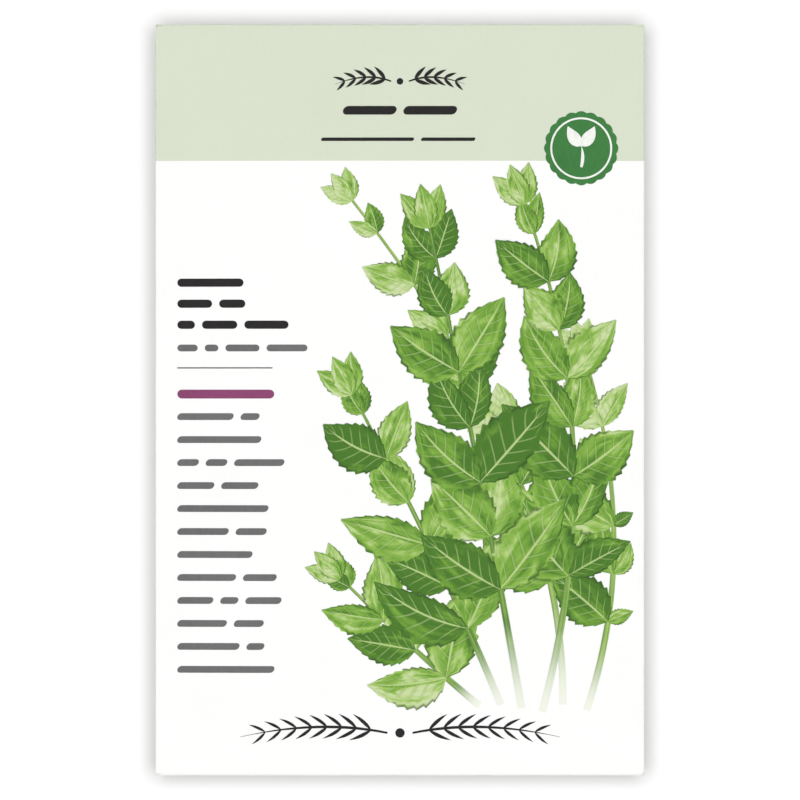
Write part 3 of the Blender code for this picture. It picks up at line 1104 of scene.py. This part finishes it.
def leaf_paint(fibre, wash):
    """Leaf green with a pale midrib, pale side veins and a darker, broken outline."""
    deep = on_white(75, 122, 42)
    made, tree, surface, along, across, washed = paint(
        "leaf_paint", fibre, wash, on_white(165, 204, 98), on_white(117, 165, 61), deep
    )
    thinned = between(tree, washed["Strength"], 0.6, 0.9, 0.0, 0.82)
    colour = blend_colours(tree, thinned, washed["Colour"], on_white(214, 226, 178))
    off_middle = maths(tree, "ABSOLUTE", across)
    slant = times(tree, off_middle, VEIN_SLANT)
    veins = maths(tree, "SUBTRACT", times(tree, along, SIDE_VEINS), slant)
    off_vein = maths(tree, "SUBTRACT", maths(tree, "FRACT", veins), 0.5)
    from_vein = maths(tree, "ABSOLUTE", off_vein)
    beside_vein = times(tree, between(tree, from_vein, 0.26, 0.1), between(tree, off_middle, 1.0, 0.3))
    side_vein = times(tree, between(tree, from_vein, 0.10, 0.02), between(tree, off_middle, 0.9, 0.5))
    midrib = times(tree, between(tree, off_middle, 0.065, 0.02), between(tree, along, 0.97, 0.7))
    gaps = between(tree, cloudy(tree, own_place(tree), 400.0), 0.4, 0.55)
    outline = times(tree, between(tree, off_middle, 0.84, 0.95), gaps)
    pale = on_white(198, 219, 150)
    dark = on_white(52, 84, 38)
    touches = [(beside_vein, 0.25, deep), (side_vein, 0.36, pale)]
    touches += [(midrib, 0.85, pale), (outline, 0.7, dark)]
    for mask, strength, added in touches:
        colour = blend_colours(tree, times(tree, mask, strength), colour, added)
    feed(tree, surface, {"Base Color": colour})
    return made


def stem_paint(fibre, wash):
    """Stem green that pales towards the foot, darker along one side."""
    made, tree, surface, along, across, washed = paint(
        "stem_paint", fibre, wash, on_white(176, 204, 116), on_white(132, 172, 84), on_white(84, 128, 52)
    )
    shaded_side = between(tree, across, 0.1, 0.9, 0.0, 0.6)
    colour = blend_colours(tree, shaded_side, washed["Colour"], on_white(74, 112, 48))
    pale_foot = between(tree, along, 0.2, 0.0, 0.0, 0.95)
    colour = blend_colours(tree, pale_foot, colour, on_white(247, 250, 238))
    feed(tree, surface, {"Base Color": colour})
    return made


def dried_glue():
    """Thin dried paste: amber, cloudy, with fine brush ridges."""
    made, tree, surface = new_finish("dried_glue")
    amber = (0.74, 0.67, 0.48, 1.0)
    straw = (0.86, 0.82, 0.68, 1.0)
    place = own_place(tree)
    clouds = cloudy(tree, place, 220.0, Detail=4.0)
    wave = {"Vector": place, "Scale": 260.0, "Distortion": 4.0, "Detail": 2.0}
    ridges = add_node(tree, "ShaderNodeTexWave", wave).outputs["Fac"]
    colour = blend_colours(tree, between(tree, clouds, 0.3, 0.7), amber, straw)
    rough = between(tree, clouds, 0.3, 0.7, 0.25, 0.45)
    feed(tree, surface, {"Base Color": colour, "Roughness": rough})
    add_relief(tree, surface, 0.3, 0.02 * MM, ridges)
    return made


def seed_husk():
    """Dry brown husk with pale ribs and dark specks."""
    made, tree, surface = new_finish("seed_husk")
    brown = (0.20, 0.145, 0.075, 1.0)
    tan = (0.36, 0.28, 0.16, 1.0)
    dark = (0.10, 0.07, 0.04, 1.0)
    pale = (0.62, 0.53, 0.36, 1.0)
    place = own_place(tree)
    specks = cloudy(tree, place, 2200.0, Detail=5.0)
    patches = cloudy(tree, place, 320.0)
    colour = blend_colours(tree, between(tree, patches, 0.35, 0.65), brown, tan)
    colour = blend_colours(tree, between(tree, specks, 0.5, 0.7, 0.0, 0.5), colour, dark)
    on_rib = between(tree, own_value(tree, "rib"), 0.4, 0.95, 0.0, 0.8)
    colour = blend_colours(tree, on_rib, colour, pale)
    rough = between(tree, specks, 0.3, 0.7, 0.6, 0.8)
    feed(tree, surface, {"Base Color": colour, "Roughness": rough})
    add_relief(tree, surface, 0.5, 0.05 * MM, specks)
    return made


# Floor, light and camera

FLOOR_SIDE = 6.0
FLOOR_SHADES = (0.76, 0.775)
RING_CENTRE = 0.66  # sine of the height at which the sky is brightest
RING_REACH = 0.24
SKY_BASE = 0.45
SKY_RING = 3.16
SOFT_BOX_SIDE = 0.8
SOFT_BOX_POWER = 0.25  # watts
SOFT_BOX_PLACE = Vector((-0.12, -0.16, 1.0))
FRAME_PIXELS = 800
PACKET_PIXELS = 488.6  # the packet's width in the photograph
LENS = 150.0
SENSOR = 36.0
CLIP = (0.01, 20.0)  # nearest and furthest that the camera sees


def pale_floor():
    """A plain pale floor."""
    mesh = bmesh.new()
    bmesh.ops.create_grid(mesh, x_segments=1, y_segments=1, size=FLOOR_SIDE / 2)
    finish, tree, surface = new_finish("pale_floor")
    shades = [(value, value, value, 1.0) for value in FLOOR_SHADES]
    colour = blend_colours(tree, cloudy(tree, own_place(tree), 6.0), *shades)
    feed(tree, surface, {"Base Color": colour, "Roughness": 0.9, "Specular IOR Level": 0.1})
    floor = mesh_object("pale_floor", mesh, (finish,))


def studio_light():
    """A white sky, brightest halfway up like a ring of soft boxes, and a weak light near the zenith."""
    world = bpy.data.worlds.new("ring_sky")
    world.use_nodes = True
    tree = world.node_tree
    direction = tree.nodes.new("ShaderNodeTexCoord").outputs["Generated"]
    up = add_node(tree, "ShaderNodeSeparateXYZ", {0: direction}).outputs["Z"]
    off_ring = maths(tree, "ABSOLUTE", maths(tree, "SUBTRACT", up, RING_CENTRE))
    strength = between(tree, off_ring, RING_REACH, 0.0, SKY_BASE, SKY_RING)
    white = (1.0, 1.0, 1.0, 1.0)
    feed(tree, tree.nodes["Background"].inputs, {"Color": white, "Strength": strength})
    bpy.context.scene.world = world
    data = bpy.data.lights.new("soft_box", "AREA")
    data.shape = "SQUARE"
    data.size = SOFT_BOX_SIDE
    data.energy = SOFT_BOX_POWER
    light = new_object("soft_box", data)
    light.location = SOFT_BOX_PLACE
    light.rotation_euler = (-SOFT_BOX_PLACE).to_track_quat("-Z", "Y").to_euler()


def camera_above():
    """A long lens straight over the packet, so that it fills the frame as in the photograph."""
    data = bpy.data.cameras.new("camera")
    data.lens = LENS
    data.sensor_width = SENSOR
    data.clip_start, data.clip_end = CLIP
    camera = new_object("camera", data)
    frame_width = FRAME_PIXELS * PACKET_WIDTH / PACKET_PIXELS
    camera.location = (0.0, 0.0, FRONT_RIM - SIDE_RADIUS + frame_width * LENS / SENSOR)
    bpy.context.scene.camera = camera
    bpy.context.scene.view_settings.view_transform = "Standard"


def main():
    fibre, wear, wash = paper_fibre_group(), fold_wear_group(), brush_wash_group()
    white = rubbed_stock("coated_white", fibre, wear, on_white(255, 255, 254), on_white(246, 246, 244))
    tint = rubbed_stock("header_tint", fibre, wear, on_white(218, 226, 205), on_white(252, 252, 250))
    bare, raw = on_white(244, 243, 238), on_white(240, 238, 232)
    inside, *_ = stock("uncoated_inside", fibre, bare, roughness=0.75, grain=0.04, bump=0.5, gloss=0.1)
    cut_edge, *_ = stock("cut_edge", fibre, raw, roughness=0.85, grain=0.06, bump=0.6, gloss=0.1)
    black = ink("black_ink", fibre, on_white(38, 36, 36))
    grey = ink("grey_ink", fibre, on_white(112, 111, 112))
    plum = ink("plum_ink", fibre, on_white(140, 70, 112))
    green = ink("seal_green", fibre, on_white(64, 128, 66))
    pale = ink("seal_white", fibre, on_white(248, 250, 244))
    folded_sheet(white, tint, inside, cut_edge)
    header_print(black)
    side_notes(black, grey, plum)
    herb_sprigs(leaf_paint(fibre, wash), stem_paint(fibre, wash))
    round_seal(green, pale)
    footer_print(black)
    back_print(black, grey, green)
    glue = dried_glue()
    for name in ("side_seam_glue", "bottom_flap_glue", "top_flap_glue"):
        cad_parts[name].data.materials.clear()
        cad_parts[name].data.materials.append(glue)
    seed_heap(seed_husk())
    pale_floor()
    studio_light()
    camera_above()


main()
